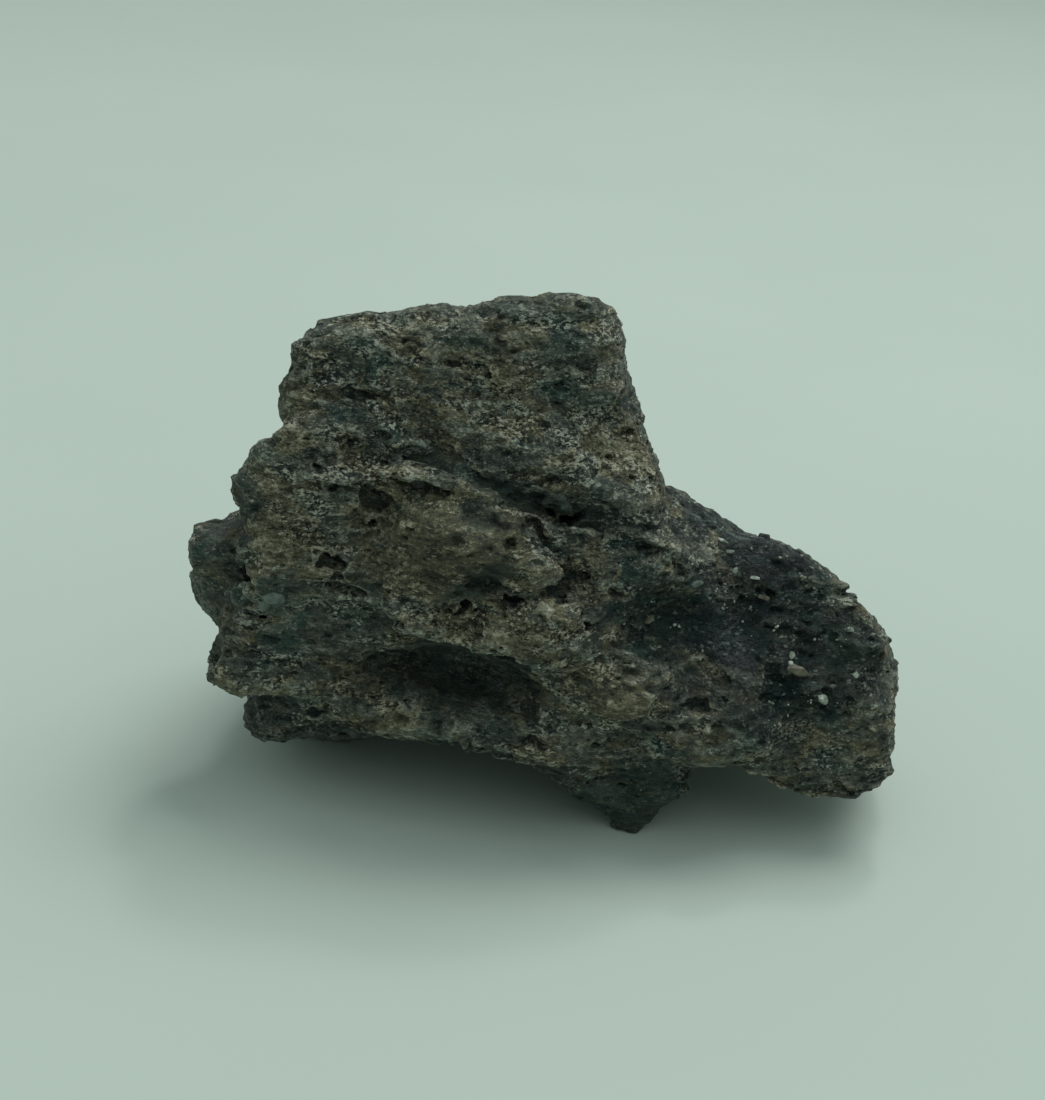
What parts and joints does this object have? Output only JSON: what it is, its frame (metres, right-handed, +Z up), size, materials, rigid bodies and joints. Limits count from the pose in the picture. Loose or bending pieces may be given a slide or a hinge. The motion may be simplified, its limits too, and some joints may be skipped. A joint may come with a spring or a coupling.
{
  "type": "impact glass specimen",
  "caption": "Broken lump of dark, gas-pitted impact glass with flow bands, ledges and hollows, standing on three low feet.",
  "frame": {"origin": "on the ground plane, under the middle of the lump's bounding box", "axes": "+Z up, +X along the length towards the low rounded lobe, -Y out of the broken, hollowed front face"},
  "size_m": [0.0504, 0.0324, 0.0363],
  "materials": {
    "impact_glass": "dark olive glass, dull and dusty on the froth, glossy where it broke clean"
  },
  "bodies": {
    "root": {"impact_glass": "impact_glass"}
  },
  "joints": []
}
